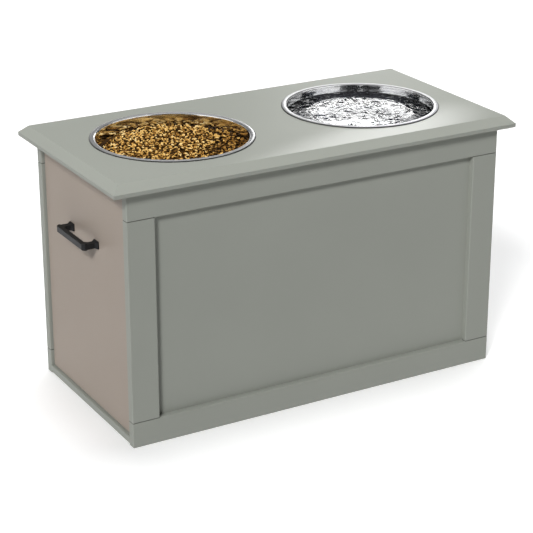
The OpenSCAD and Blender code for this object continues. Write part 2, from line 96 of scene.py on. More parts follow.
class Tree:
    def __init__(self, node_tree):
        self.nodes, self.links = node_tree.nodes, node_tree.links

    def put(self, socket, value):
        if isinstance(value, Wire):
            self.links.new(value.socket, socket)
        else:
            socket.default_value = value

    def node(self, kind, settings={}, sockets={}):
        node = self.nodes.new(kind)
        for name, value in settings.items():
            if name == "stops":
                ramp = node.color_ramp.elements
                while len(ramp) < len(value):
                    ramp.new(0.5)
                for stop, (place, colour) in zip(ramp, value):
                    stop.position, stop.color = place, (*colour, 1.0)
            else:
                setattr(node, name, value)
        for name, value in sockets.items():
            self.put(node.inputs[name], value)
        return Made(self, node)

    def apart(self, vector):
        made = self.node("ShaderNodeSeparateXYZ", {}, {0: vector})
        return [made.out(axis) for axis in "XYZ"]

    def joined(self, x, y, z):
        return self.node("ShaderNodeCombineXYZ", {}, {"X": x, "Y": y, "Z": z}).out()


# %% [markdown]
# ## The helpers that every finish shares
#
# A finish reads Object coordinates in metres, so a pattern has its real size on every board and stays
# put when the piece moves. `grain` is noise at a size in millimetres, stretched along an axis where a
# wood or a brushed metal needs it. Two colours are blended by `mix`, and `bumped` turns a height in
# millimetres into a normal.

# %% Finish helpers
class Finish(Tree):
    def __init__(self, name):
        self.material = bpy.data.materials.new(name)
        self.material.use_nodes = True
        super().__init__(self.material.node_tree)
        self.shader = self.nodes["Principled BSDF"]
        self.place = self.node("ShaderNodeTexCoord").out("Object")

    def grain(self, size, detail=2.0, stretch=None, rough=0.5, twist=0.0):
        place = self.place
        if stretch:
            place = self.node("ShaderNodeVectorMath", {"operation": "MULTIPLY"}, {0: place, 1: stretch}).out()
        return self.node("ShaderNodeTexNoise", {}, {
            "Vector": place, "Scale": 1.0 / (size * MM), "Detail": detail, "Roughness": rough,
            "Distortion": twist}).out("Fac")

    def fit(self, value, low, high, to_low=0.0, to_high=1.0):
        return self.node("ShaderNodeMapRange", {}, {
            "Value": value, "From Min": low, "From Max": high, "To Min": to_low, "To Max": to_high,
        }).out()

    def mix(self, share, first, second):
        first, second = (c if isinstance(c, Wire) else (*c, 1.0) for c in (first, second))
        return self.node("ShaderNodeMix", {"data_type": "RGBA"}, {0: share, 6: first, 7: second}).out(2)

    def bumped(self, height, depth, strength=1.0):
        return self.node("ShaderNodeBump", {}, {
            "Height": height, "Distance": depth * MM, "Strength": strength}).out()

    def wear(self, **values):
        for name, value in values.items():
            label = name.replace("_", " ").title().replace("Ior", "IOR")
            self.put(self.shader.inputs[label], value)
        return self.material


# %% [markdown]
# ## Paint
#
# The boards are sprayed with a satin paint. Up close such paint has a fine orange peel about a
# millimetre wide, the gloss is a little uneven, and the colour drifts by a percent or two over a
# board. The same finish serves both colours, because only the tint differs. Where a stile meets a
# rail, the fine groove is painted nearly black as painted shade, and the imported stile's box tells
# where that is.

# %% Painted boards
def paint(name, colour, gloss, stile=None):
    """stile is the box of a frame's stile: over and under it, the groove to the rails is painted dark as
    painted shade.
    """
    f = Finish(name)
    drift = f.grain(140, detail=2)
    peel = f.grain(1.3, detail=1)
    dust = f.grain(0.35, detail=0)
    tint = f.mix(f.fit(drift, 0.3, 0.7), [c * 0.985 for c in colour], [c * 1.015 for c in colour])
    if stile:
        x, _, height = f.apart(f.place)
        along = x.math("ABSOLUTE")
        inner_edge, end_face = -stile[1].x, -stile[0].x
        for seam in (stile[0].z, stile[1].z):
            # Painted shade: a thin band at each seam height is painted nearly black. It fades near the end
            # face and stops at the stile's inner edge.
            seam_shade = f.fit((height - seam).math("ABSOLUTE"), 0.3 * MM, 0.8 * MM, 0.75, 0.0)
            seam_shade = seam_shade * f.fit(along, end_face - 1.0 * MM, end_face - 0.2 * MM, 1.0, 0.45)
            seam_shade = seam_shade * f.fit(along, inner_edge - 0.2 * MM, inner_edge + 0.2 * MM)
            tint = f.mix(seam_shade, tint, (0.04, 0.042, 0.038))
    return f.wear(
        base_color=f.mix(f.fit(dust, 0.62, 0.75, 0.0, 0.08), tint, [min(1, c * 1.3) for c in colour]),
        roughness=f.fit(peel, 0.3, 0.7, gloss - 0.015, gloss + 0.015),
        normal=f.bumped(peel * 0.8 + dust * 0.2, 0.012), specular_ior_level=0.1)


grey_green = (0.343, 0.357, 0.320)
taupe = (0.395, 0.335, 0.285)
cabinet_paint = paint("cabinet_paint", grey_green, 0.40)
frame_paint = paint("frame_paint", grey_green, 0.40, stile=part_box("front_left_stile"))
front_paint = paint("front_paint", taupe, 0.46)
print("paints:", cabinet_paint.name, frame_paint.name, front_paint.name)

# %% [markdown]
# ## Boards under the paint
#
# Inside a bowl's hole the cut edge of the fibreboard shows, brown and felted. The drawer box is
# particle board with a matt melamine skin, which has a faint printed grain. The battens are planed
# pine, with growth lines along their length.

# %% Bare and coated boards
def fibreboard():
    f = Finish("bare_fibreboard")
    felt = f.grain(0.9, detail=4, stretch=(1, 1, 3), rough=0.7)
    tint = f.mix(f.fit(felt, 0.3, 0.7), (0.20, 0.125, 0.07), (0.40, 0.28, 0.17))
    return f.wear(base_color=tint, roughness=0.85, normal=f.bumped(felt, 0.12))


def melamine():
    f = Finish("drawer_melamine")
    line = f.grain(1.1, detail=3, stretch=(0.05, 0.05, 1), twist=0.2)
    cloud = f.grain(60, detail=2)
    tint = f.mix(f.fit(line, 0.35, 0.65), (0.36, 0.305, 0.26), (0.41, 0.352, 0.30))
    tint = f.mix(f.fit(cloud, 0.3, 0.7, 0.0, 0.25), tint, (0.44, 0.38, 0.33))
    return f.wear(base_color=tint, roughness=f.fit(line, 0.3, 0.7, 0.50, 0.60),
                  normal=f.bumped(line, 0.03))


def timber(name, pale, dark, line_size):
    f = Finish(name)
    bend = f.grain(45, detail=1, stretch=(0.2, 1, 1))
    rings = f.grain(line_size, detail=2, stretch=(0.03, 1, 1), twist=0.6)
    pores = f.grain(0.5, detail=2, stretch=(0.06, 1, 1), rough=0.7)
    tint = f.mix(f.fit(rings * 0.75 + bend * 0.25, 0.38, 0.62), pale, dark)
    tint = f.mix(f.fit(pores, 0.58, 0.75, 0.0, 0.4), tint, [c * 0.6 for c in dark])
    return f.wear(base_color=tint, roughness=f.fit(pores, 0.3, 0.7, 0.55, 0.7),
                  normal=f.bumped(pores * 0.6 + rings * 0.4, 0.06))


bare_board = fibreboard()
drawer_board = melamine()
pine = timber("batten_pine", (0.66, 0.50, 0.30), (0.50, 0.31, 0.14), 2.6)
beech = timber("dowel_beech", (0.62, 0.43, 0.25), (0.52, 0.33, 0.17), 1.2)
print("boards:", bare_board.name, drawer_board.name, pine.name, beech.name)

# %% [markdown]
# ## Metals and nylon
#
# The pull has a matt black powder coat, a fine pebble with almost no shine. Screws and cams are zinc
# plated, which is cloudy and slightly blue. The runners have a white epoxy coat and their wheels are
# nylon. These parts are small or out of sight, so each finish needs only one or two grains.

# %% Small metal parts
def powder_coat():
    f = Finish("pull_powder_coat")
    pebble = f.grain(0.7, detail=2)
    tint = f.mix(f.fit(pebble, 0.35, 0.65), (0.007, 0.007, 0.008), (0.015, 0.016, 0.017))
    return f.wear(base_color=tint, roughness=f.fit(pebble, 0.3, 0.7, 0.42, 0.56),
                  normal=f.bumped(pebble, 0.05), specular_ior_level=0.22)


def zinc_plate():
    f = Finish("zinc_plate")
    cloud = f.grain(3, detail=3)
    tint = f.mix(f.fit(cloud, 0.3, 0.7), (0.50, 0.52, 0.55), (0.68, 0.69, 0.70))
    return f.wear(base_color=tint, metallic=1.0, roughness=f.fit(cloud, 0.3, 0.7, 0.22, 0.42),
                  normal=f.bumped(f.grain(0.4, detail=1), 0.01))


def epoxy_coat():
    f = Finish("runner_epoxy")
    peel = f.grain(0.9, detail=1)
    tint = f.mix(f.fit(f.grain(30), 0.3, 0.7), (0.76, 0.76, 0.73), (0.82, 0.82, 0.80))
    return f.wear(base_color=tint, roughness=f.fit(peel, 0.3, 0.7, 0.30, 0.38),
                  normal=f.bumped(peel, 0.02))


def nylon():
    f = Finish("roller_nylon")
    tint = f.mix(f.fit(f.grain(4), 0.3, 0.7), (0.80, 0.79, 0.74), (0.87, 0.86, 0.82))
    return f.wear(base_color=tint, roughness=f.fit(f.grain(1.5), 0.3, 0.7, 0.32, 0.42))


black_coat, zinc, white_epoxy, white_nylon = powder_coat(), zinc_plate(), epoxy_coat(), nylon()
print("small parts:", black_coat.name, zinc.name, white_epoxy.name, white_nylon.name)

# %% [markdown]
# ## Polished bowl steel
#
# A spun bowl is polished while it turns, so its scratches run round the bowl. Its own noise reads
# the distance from the bowl's axis and the height, and hardly changes along the turn, which gives
# rings. They are so fine that they only soften the reflections a little. The rolled rim is duller
# than the inside. Its lower lip is painted near black, a painted contact shadow along the gap to the
# board. Under the water, the lower wall and the right side carry a painted dark, mottled reflection,
# for how they look through water. Each pair of numbers, in metres, is where such a change starts and
# ends, as a height or as a distance from the bowl's axis.

# %% Bowl steel
foot_edge = 0.071, 0.074
# Where the painted dark reflection under the water starts and ends.
dark_reflection_height = 0.345, 0.350
dark_reflection_side = 0.078, 0.084
# Where the rim's painted contact shadow starts and ends.
lip_shadow_height = 0.3613, 0.3617
lip_shadow_edge = 0.1060, 0.1066
roll_edge = 0.101, 0.103
side_x, side_y = 0.868, -0.497


def spun_steel(name, axis_x, satin, painted_dark=False):
    """satin is how matt the rolled rim is. A bowl that holds water gets a painted dark, mottled
    reflection on its lower wall and right side, for how they look through water."""
    f = Finish(name)
    centred = f.node("ShaderNodeMapping", {}, {"Vector": f.place, "Location": (-axis_x, 0, 0)}).out()
    x, y, z = f.apart(centred)
    radius = (x * x + y * y) ** 0.5
    rings = f.joined(radius, 0.0, z)
    scratch = f.node("ShaderNodeTexNoise", {}, {
        "Vector": rings, "Scale": 1.0 / (0.9 * MM), "Detail": 2.0}).out("Fac")
    smear = f.grain(35, detail=2)
    turned = f.grain(2.4, detail=2, stretch=(0.12, 0.12, 1))
    tint = f.mix(f.fit(scratch, 0.3, 0.7), (0.74, 0.745, 0.75), (0.80, 0.805, 0.81))
    if painted_dark:
        # Painted reflection: under the waterline and on the right side, the wall is painted dark and mottled,
        # and its reflections are tinted dark.
        under = f.fit(z, *dark_reflection_height, 1.0, 0.0) * f.fit(radius, *foot_edge)
        across = x * side_x + y * side_y + (f.grain(9, detail=2) - 0.5) * 0.02
        under = under.math("MAXIMUM", f.fit(across, *dark_reflection_side))
        reflection_mottle = f.fit(f.grain(3.5, detail=3, twist=1.0), 0.56, 0.68)
        tint = f.mix(under, tint, f.mix(reflection_mottle, (0.022, 0.025, 0.036), (0.42, 0.43, 0.46)))
        f.wear(specular_tint=(0.12, 0.13, 0.16, 1))
    # Painted contact shadow: the lowest band of the rim's outer lip is painted near black and made matt.
    lip_shadow = f.fit(z, *lip_shadow_height, 1.0, 0.0) * f.fit(radius, *lip_shadow_edge)
    tint = f.mix(lip_shadow, tint, (0.02, 0.02, 0.02))
    rolled = f.fit(radius, *roll_edge)
    return f.wear(base_color=tint, metallic=1.0 - (rolled * satin).math("MAXIMUM", lip_shadow),
                  roughness=f.fit(scratch * 0.5 + smear * 0.5, 0.3, 0.7, 0.05, 0.11) + rolled * 0.22,
                  normal=f.bumped(scratch * 0.1 + turned * 0.9, 0.035))


bowl_axis = {side: (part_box("bowl_" + side)[0].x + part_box("bowl_" + side)[1].x) / 2
             for side in ("left", "right")}
rim_satin = {"left": 0.25, "right": 0.45}
bowl_steel = {side: spun_steel("bowl_steel_" + side, x, rim_satin[side]) for side, x in bowl_axis.items()}
painted_dark_steel = spun_steel("bowl_steel_painted_dark", bowl_axis["right"], rim_satin["right"], painted_dark=True)
print("bowl axes at x =", {side: round(x, 4) for side, x in bowl_axis.items()})


# %% [markdown]
# ## Food and water
#
# Dry food is baked: golden on the outside, and darker in its pores. Each pellet carries its own
# `bake` value, stored on its points when the heap is made, so no two are quite alike. The lower side
# of each pellet and the pellets deep in the heap are painted darker, as painted shade.
# Water is clear and takes its looks from its ripples and from the steel below. Round its calm middle
# the small waves show the dark wall in patches, and a mottled dark tint stands in for that.

# %% Food and water
def baked_food(name, dark, brown, gold, tan):
    f = Finish(name)
    bake, sunk, middle = (f.node("ShaderNodeAttribute", {"attribute_name": label}).out("Fac")
                          for label in ("bake", "sunk", "middle"))
    crust = f.grain(1.3, detail=3, rough=0.6)
    height = f.apart(f.place)[2] - middle
    # Painted shade: each pellet is painted darker below its middle, and pellets that lie deep in the heap, by
    # their sunk value, are painted darker.
    underside_shade = f.fit(height, -0.9 * MM, 0.4 * MM, 0.12, 1.0)
    tone = (bake * 0.3 + crust * 0.7 + 0.21) * f.fit(sunk, 0.2, 0.6, 1.0, 0.22) * underside_shade
    tint = f.node("ShaderNodeValToRGB", {"stops": (
        (0.12, dark), (0.36, brown), (0.60, gold), (0.85, tan))}, {0: tone}).out("Color")
    return f.wear(base_color=tint, roughness=f.fit(crust, 0.3, 0.7, 0.36, 0.55),
                  normal=f.bumped(f.grain(0.8, detail=2), 0.12), specular_ior_level=0.15)


def clear_water(axis_x, calm_r):
    """Calm inside the radius calm_r, in millimetres, and choppy from there to the wall."""
    f = Finish("water")
    x, y, _ = f.apart(f.place)
    x = x - axis_x
    radius = (x * x + y * y) ** 0.5 * (1 / MM) + (f.grain(16, detail=2) - 0.5) * 14.0
    choppy = f.fit(radius, calm_r - 1.5, calm_r + 1.5)
    rise = (radius - calm_r).math("MAXIMUM", 0.0) * 0.38
    specks = f.fit(f.grain(9, detail=1, twist=1.0), 0.63, 0.72)
    edge = (radius - calm_r + 5.0).math("ABSOLUTE")
    crest = f.fit(edge, 0.0, 1.8, 1.0, 0.0) * f.fit(f.grain(30), 0.45, 0.6)
    height = rise + f.grain(6, detail=2, twist=0.6) * choppy * 0.7 + specks * 3.0 + crest * 0.9
    # Painted reflection: in the choppy ring the water is tinted dark and mottled, more on its left side, for
    # the dark wall that the waves show.
    reflection_share_by_side = f.fit(x, -0.04, 0.01, 0.75, 0.25)
    painted_wall_reflection = choppy * f.fit(f.grain(4.5, detail=3, twist=1.5), 0.52, 0.66, 1.0, reflection_share_by_side)
    return f.wear(base_color=f.mix(painted_wall_reflection, (0.98, 0.99, 1.0), (0.04, 0.045, 0.065)), roughness=0.0,
                  normal=f.bumped(height, 1.0), ior=1.333, transmission_weight=1.0)


dry_food = baked_food("dry_food", (0.012, 0.005, 0.001), (0.36, 0.17, 0.032),
                      (0.88, 0.54, 0.15), (1.0, 0.78, 0.38))
# The deep layer's colours are painted shade: the food in the gaps is the same food, unlit.
gap_shade_food = baked_food("gap_shade_food", (0.02, 0.009, 0.003), (0.04, 0.018, 0.005),
                       (0.06, 0.03, 0.009), (0.09, 0.045, 0.015))
water_skin = clear_water(bowl_axis["right"], 73.5)
print("contents:", dry_food.name, water_skin.name)


# %% [markdown]
# ## Softened boards
#
# A painted board never has a knife edge: it is sanded, and paint pulls back into a small round. The
# packed boards have flat chamfers, so each visible one is copied, its loose triangles are merged
# into plain faces, and a Bevel modifier rounds what is left of its edges.

# %% Softening
def new_object(name, data):
    made = bpy.data.objects.new(name, data)
    bpy.context.scene.collection.objects.link(made)
    return made


def merged(node):
    """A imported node's loose triangles with their corners joined, as a BMesh."""
    bm = bmesh.new()
    bm.from_mesh(frame["nodes"][node].data)
    bmesh.ops.remove_doubles(bm, verts=bm.verts, dist=0.002 * MM)
    return bm


def as_mesh(bm, name):
    mesh = bpy.data.meshes.new(name)
    bm.to_mesh(mesh)
    bm.free()
    return mesh


def plain_mesh(piece):
    graph = bpy.context.evaluated_depsgraph_get()
    mesh = bpy.data.meshes.new_from_object(piece.evaluated_get(graph))
    piece.modifiers.clear()
    piece.data = mesh
    return piece


def flat_normals(mesh):
    """Each corner leans to its largest face, so flat faces look flat and the rounds between them smooth."""
    total = np.zeros((len(mesh.vertices), 3))
    for face in mesh.polygons:
        total[list(face.vertices)] += np.array(face.normal) * face.area ** 2
    total[~total.any(axis=1)] = 0, 0, 1
    mesh.shade_smooth()
    mesh.normals_split_custom_set_from_vertices(total / np.linalg.norm(total, axis=1)[:, None])


def softened(node, round_size, material, steps):
    """round_size is in millimetres, and steps is how many faces go round an edge."""
    bm = merged(node)
    bmesh.ops.dissolve_limit(bm, angle_limit=math.radians(0.5), verts=bm.verts, edges=bm.edges)
    piece = new_object(node + "_soft", as_mesh(bm, node + "_soft"))
    bevel = piece.modifiers.new("round", "BEVEL")
    bevel.width, bevel.segments = round_size * MM, steps
    bevel.limit_method, bevel.angle_limit = "ANGLE", math.radians(20)
    plain_mesh(piece)
    flat_normals(piece.data)
    piece.data.materials.clear()
    piece.data.materials.append(material)
    return piece


# %% [markdown]
# ## Dressing the frame
#
# Every finished piece rides the body of the imported node that it replaces, and that node is hidden.
# Boards are sanded rounder than pressed runners or a cast pull, so each group has its own round, in
# millimetres.

# %% Softened pieces
body_of = {node: body for body, nodes in frame["record"]["behaviour"]["bodies"].items() for node in nodes}


def dress(piece, *nodes):
    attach(piece, body_of[nodes[0]])
    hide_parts(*nodes)
    return piece


frame_parts = ("top_rail", "bottom_rail", "left_stile", "right_stile", "panel")
painted = [side + "_" + part for side in ("front", "back") for part in frame_parts]
soft = {}
for nodes, round_size, material, steps in (
        (painted, 0.3, frame_paint, 2),
        (("end_board", "base_board"), 0.45, cabinet_paint, 2),
        (("top_board",), 0.6, cabinet_paint, 3),
        (("drawer_front",), 0.45, front_paint, 2),
        (("drawer_front_side", "drawer_back_side", "drawer_rear", "drawer_bottom"), 0.3, drawer_board, 2),
        (("front_batten", "back_batten"), 0.6, pine, 2),
        (("front_fixed_runner", "back_fixed_runner", "front_moving_runner", "back_moving_runner"),
         0.2, white_epoxy, 2),
        (("base_cams", "drawer_cams", "base_bolts", "drawer_bolts"), 0.15, zinc, 2),
        (("pull",), 0.18, black_coat, 2)):
    for node in nodes:
        soft[node] = dress(softened(node, round_size, material, steps), node)
print("softened:", len(soft), "pieces")

# %% [markdown]
# ## The cut edges of the holes
#
# The holes are sawn after the sheet is made, so their walls show the bare fibreboard. They are the
# upright faces of the top board that lie within a hole's reach of a bowl's axis.

# %% Holes
hole_reach = 0.105
top = soft["top_board"].data
top.materials.append(bare_board)
for face in top.polygons:
    from_axis = min(math.hypot(face.center.x - x, face.center.y) for x in bowl_axis.values())
    if abs(face.normal.z) < 0.3 and from_axis < hole_reach:
        face.material_index = 1
print("top board:", len(top.polygons), "faces,", sum(face.material_index for face in top.polygons), "bare")

# %% [markdown]
# ## Geometry Nodes trees with named sizes
#
# What repeats, or follows a rule, is made by Geometry Nodes. A modifier tree has one geometry in, one
# out, and a named input for each size. The modifier is filled in by each input's identifier before
# the piece is first looked at, and the result is turned into a plain mesh.

# %% Trees for modifiers
socket_kinds = {"shape": "Geometry", "size": "Float", "count": "Int", "object": "Object",
                "collection": "Collection", "material": "Material"}


class Recipe(Tree):
    def __init__(self, name, **inputs):
        self.group = bpy.data.node_groups.new(name, "GeometryNodeTree")
        sockets = self.group.interface
        sockets.new_socket("Geometry", in_out="OUTPUT", socket_type="NodeSocketGeometry")
        for label, kind in {"Geometry": "shape", **inputs}.items():
            sockets.new_socket(label, in_out="INPUT", socket_type="NodeSocket" + socket_kinds[kind])
        super().__init__(self.group)
        self.given = self.node("NodeGroupInput")

    def give(self, geometry):
        smooth = self.node("GeometryNodeSetShadeSmooth", {}, {"Geometry": geometry}).out()
        coated = self.node("GeometryNodeSetMaterial", {}, {
            "Geometry": smooth, "Material": self.given.out("material")}).out()
        self.node("NodeGroupOutput", {}, {0: coated})

    def run(self, piece, **values):
        modifier = piece.modifiers.new(self.group.name, "NODES")
        modifier.node_group = self.group
        for item in self.group.interface.items_tree:
            if item.in_out == "INPUT" and item.name in values:
                modifier[item.identifier] = values[item.name]
        return plain_mesh(piece)


# %% [markdown]
# ## Spinning an outline
#
# Bowls, wheels, rivets and the body of water are all turned shapes. Their outline is a row of points
# from the axis round and back to the axis. The tree lays a grid with one column for each point, reads
# the outline by index, and bends the grid into a turn. Merging by distance closes the seam and poles.

# %% The spin tree
def spin_recipe():
    r = Recipe("spin_outline", steps="count", material="material")
    outline, steps = r.given.out("Geometry"), r.given.out("steps")
    columns = r.node("GeometryNodeAttributeDomainSize", {}, {"Geometry": outline}).out("Point Count")
    rows = steps + 1
    grid = r.node("GeometryNodeMeshGrid", {}, {"Vertices X": columns, "Vertices Y": rows})
    index = r.node("GeometryNodeInputIndex").out()
    column = (index / rows + 0.0001).math("FLOOR")
    row = index - column * rows
    spot = r.node("GeometryNodeSampleIndex", {"data_type": "FLOAT_VECTOR"}, {
        "Geometry": outline, "Value": r.node("GeometryNodeInputPosition").out(), "Index": column}).out()
    radius, _, height = r.apart(spot)
    turn = row / steps * math.tau
    place = r.joined(radius * turn.math("COSINE"), radius * turn.math("SINE"), height)
    bent = r.node("GeometryNodeSetPosition", {}, {"Geometry": grid.out("Mesh"), "Position": place}).out()
    r.give(r.node("GeometryNodeMergeByDistance", {}, {"Geometry": bent, "Distance": 0.001 * MM}).out())
    return r


spin = spin_recipe()
print("spin tree:", len(spin.nodes), "nodes")


def outward(mesh):
    bm = bmesh.new()
    bm.from_mesh(mesh)
    bmesh.ops.recalc_face_normals(bm, faces=bm.faces)
    bm.to_mesh(mesh)
    bm.free()


def spun(name, outline, steps, material, place=(0, 0, 0), turn=None):
    """outline holds (radius, height) pairs in millimetres."""
    mesh = bpy.data.meshes.new(name)
    mesh.from_pydata([(x * MM, 0, z * MM) for x, z in outline],
                     [(i, i + 1) for i in range(len(outline) - 1)], [])
    piece = spin.run(new_object(name, mesh), steps=steps, material=material)
    outward(piece.data)
    if turn:
        piece.data.transform(turn)
    piece.data.transform(Matrix.Translation(place))
    return piece


def arc(centre, radii, start, end, steps):
    """Points on an oval arc, angles in degrees, counted from +X."""
    angles = np.radians(np.linspace(start, end, steps + 1))
    return [(centre[0] + radii[0] * math.cos(a), centre[1] + radii[1] * math.sin(a)) for a in angles]


# %% [markdown]
# ## Screws, dowels, rivets and wheels
#
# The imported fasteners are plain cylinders, so each is swapped for a real one at the same place. The
# loose solids of a node tell where: their long axis is the screw's, and the wider end is its head. A
# screw is spun from its outline, then a tree cuts it: a wave that runs round and along the shank
# lowers the radius, which makes a thread, or the flutes of a dowel, and a cross sinks into the head.

# %% The cutting tree
def cut_recipe():
    r = Recipe("cut_wave_and_cross", along="size", around="size", depth="size", start="size", end="size",
               cross="size", arm="size", cross_r="size", material="material")
    x, y, z = r.apart(r.node("GeometryNodeInputPosition").out())
    given = r.given.out
    radius = (x * x + y * y) ** 0.5
    wave = z * given("along") + y.math("ARCTAN2", x) * (1 / math.tau) * given("around")
    depth = (wave.math("FRACT") * 2.0 - 1.0).math("ABSOLUTE") * given("depth")
    cut = z.math("LESS_THAN", given("start")) * z.math("GREATER_THAN", given("end")) * depth
    kept = (radius - cut) / (radius + 0.000001)
    near = x.math("ABSOLUTE").math("MINIMUM", y.math("ABSOLUTE"))
    sunk = near.math("LESS_THAN", given("arm")) * radius.math("LESS_THAN", given("cross_r"))
    sunk = sunk * z.math("GREATER_THAN", given("start")) * given("cross")
    place = r.joined(x * kept, y * kept, z - sunk)
    r.give(r.node("GeometryNodeSetPosition", {}, {"Geometry": given("Geometry"), "Position": place}).out())
    return r


def set_recipe():
    r = Recipe("fasteners_in_place", fastener="object", material="material")
    item = r.node("GeometryNodeObjectInfo", {}, {"Object": r.given.out("fastener")}).out("Geometry")
    points = r.node("GeometryNodeMeshToPoints", {}, {"Mesh": r.given.out("Geometry")}).out()
    turn = r.node("GeometryNodeInputNamedAttribute", {"data_type": "FLOAT_VECTOR"}, {"Name": "turn"}).out()
    made = r.node("GeometryNodeInstanceOnPoints", {}, {
        "Points": points, "Instance": item, "Rotation": turn}).out()
    r.give(r.node("GeometryNodeRealizeInstances", {}, {"Geometry": made}).out())
    return r


cut, set_in_place = cut_recipe(), set_recipe()
print("trees:", cut.group.name, set_in_place.group.name)


# %% [markdown]
# ## Places of the fasteners
#
# The places could be typed in, but they would drift when the construction changes. Instead a packed
# node is split into its loose solids. A solid's box gives its axis, and its wider end is the head. A
# dowel has two equal ends, and either of them will do.

# %% Where the fasteners are
def loose_solids(node):
    bm = merged(node)
    left = set(bm.verts)
    while left:
        part, reached = [], [left.pop()]
        while reached:
            vert = reached.pop()
            part.append(vert.co[:])
            near = {edge.other_vert(vert) for edge in vert.link_edges} & left
            left -= near
            reached += near
        yield np.array(part)
    bm.free()


def head_end(part):
    """The middle of the head's face, and the turn that brings +Z to the head's direction."""
    low, high = part.min(axis=0), part.max(axis=0)
    axis = int((high - low).argmax())
    centre = (low + high) / 2
    reach = np.linalg.norm(np.delete(part - centre, axis, axis=1), axis=1)
    wide = [reach[abs(part[:, axis] - end[axis]) < 0.01 * MM].max() for end in (low, high)]
    sign = 1 if wide[1] >= wide[0] else -1
    centre[axis] = (high if sign > 0 else low)[axis]
    quarter = math.pi / 2
    turn = ((0, sign * quarter, 0), (-sign * quarter, 0, 0), (0 if sign > 0 else math.pi, 0, 0))[axis]
    return centre, turn


def fasten(node, item, material):
    ends = [head_end(part) for part in loose_solids(node)]
    mesh = bpy.data.meshes.new(node)
    mesh.from_pydata([centre.tolist() for centre, _ in ends], [], [])
    turns = np.array([turn for _, turn in ends], np.float32).ravel()
    mesh.attributes.new("turn", "FLOAT_VECTOR", "POINT").data.foreach_set("vector", turns)
    piece = set_in_place.run(new_object("real_" + node, mesh), fastener=item, material=material)
    return dress(piece, node)


print("screws under the top:", len(list(loose_solids("top_screws"))))

# %% [markdown]
# ## The fasteners themselves
#
# The four screws differ only in length, shank, head and pitch, so one function makes them all, with
# a flat face or a dome. Dowels are fluted beech with small chamfers, and a rivet is a dome on a plain
# pin. Their sizes are in millimetres, and each points down from its head.

# %% Screws, dowels and rivets
def dome(radius, height, step):
    angles = np.radians(np.arange(0, 91, step))
    return [(radius * math.sin(a), -height * (1 - math.cos(a))) for a in angles]


def screw(name, length, shank_r, head_r, head_t, domed, pitch):
    flat = [(head_r * i / 10, 0.0) for i in range(11)]
    head = dome(head_r, head_t * 0.75, 9) + [(head_r, -head_t)] if domed else flat
    neck = -head_t - pitch / 2
    rows = int((length + neck - shank_r) / pitch * 4)
    shank = [(shank_r, neck - pitch / 4 * i) for i in range(rows)]
    outline = head + [(shank_r, -head_t)] + shank + [(0.0, -length)]
    piece = spun(name, outline, 16, zinc)
    return cut.run(piece, along=1 / (pitch * MM), around=-1.0, depth=shank_r * 0.3 * MM, start=neck * MM,
                   end=-length * 0.97 * MM, cross=head_t * 0.55 * MM, arm=head_r * 0.14 * MM,
                   cross_r=head_r * 0.62 * MM, material=zinc)


def dowel(name, length, radius):
    chamfer = 0.8
    outline = [(0.0, 0.0), (radius - chamfer, 0.0), (radius, -chamfer)]
    outline += [(radius, -chamfer - (length - 2 * chamfer) * i / 6) for i in range(1, 7)]
    outline += [(radius - chamfer, -length), (0.0, -length)]
    piece = spun(name, outline, 48, beech)
    return cut.run(piece, along=0.0, around=12.0, depth=0.25 * MM, start=-chamfer * 0.9 * MM,
                   end=(0.9 * chamfer - length) * MM, material=beech)


def rivet(name, length, radius, head_r, head_t):
    shank = [(radius, -head_t), (radius, -length + 0.4), (radius - 0.4, -length), (0.0, -length)]
    return spun(name, dome(head_r, head_t, 15) + shank, 32, zinc)


# %% [markdown]
# ## Fastening
#
# One fastener of each kind is enough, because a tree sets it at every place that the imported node
# tells. That first one is only a pattern, and it is removed when all have been set.

# %% Fasteners in place
fasteners = (
    (screw("wood_screw", length=26, shank_r=1.75, head_r=3.5, head_t=2, domed=False, pitch=2.0), zinc,
     ("top_screws", "batten_screws", "drawer_screws")),
    (screw("runner_screw", length=12, shank_r=1.75, head_r=3.5, head_t=1, domed=True, pitch=1.4), zinc,
     ("fixed_runner_screws",)),
    (screw("sole_screw", length=8.2, shank_r=1.75, head_r=3.5, head_t=1, domed=True, pitch=1.4), zinc,
     ("moving_runner_screws",)),
    (screw("pull_screw", length=24.2, shank_r=2.0, head_r=3.8, head_t=2.2, domed=True, pitch=0.8), zinc,
     ("pull_screws",)),
    (dowel("long_dowel", length=28, radius=3), beech, ("front_dowels", "back_dowels")),
    (dowel("short_dowel", length=18, radius=3), beech, ("end_dowels",)),
    (rivet("wheel_rivet", length=10, radius=2.5, head_r=4, head_t=0.8), zinc,
     ("fixed_roller_pins", "moving_roller_pins")))
for item, material, nodes in fasteners:
    for node in nodes:
        made = fasten(node, item, material)
        print(made.name, len(made.data.polygons), "faces")
    bpy.data.objects.remove(item)

# %% [markdown]
# ## The wheels
#
# Each runner has one nylon wheel on a rivet. It is turned too: a bore, a sunk ring on each face to
# save material, and a tread with rounded corners. The outline is a closed loop, so the spin tree's
# merging closes it.

# %% Wheels
def wheel(node):
    low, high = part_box(node)
    radius, width, bore = (high.z - low.z) / 2 / MM, (high.y - low.y) / MM, 2.55
    sunk, round_r = 0.9, 0.7
    half = width / 2
    face = [(bore, half), (bore + 1.6, half), (bore + 2.0, half - sunk), (radius - 2.0, half - sunk),
            (radius - 1.6, half), (radius - round_r, half)]
    corner = arc((radius - round_r, half - round_r), (round_r, round_r), 90, 0, 4)[1:]
    side = face + corner
    loop = side + [(r, -h) for r, h in reversed(side)] + [side[0]]
    return dress(spun(node + "_wheel", loop, 48, white_nylon, (low + high) / 2,
                      Matrix.Rotation(math.pi / 2, 4, "X")), node)


wheels = [wheel(side + "_" + kind + "_roller") for kind in ("fixed", "moving") for side in ("front", "back")]
print("wheels:", len(wheels))

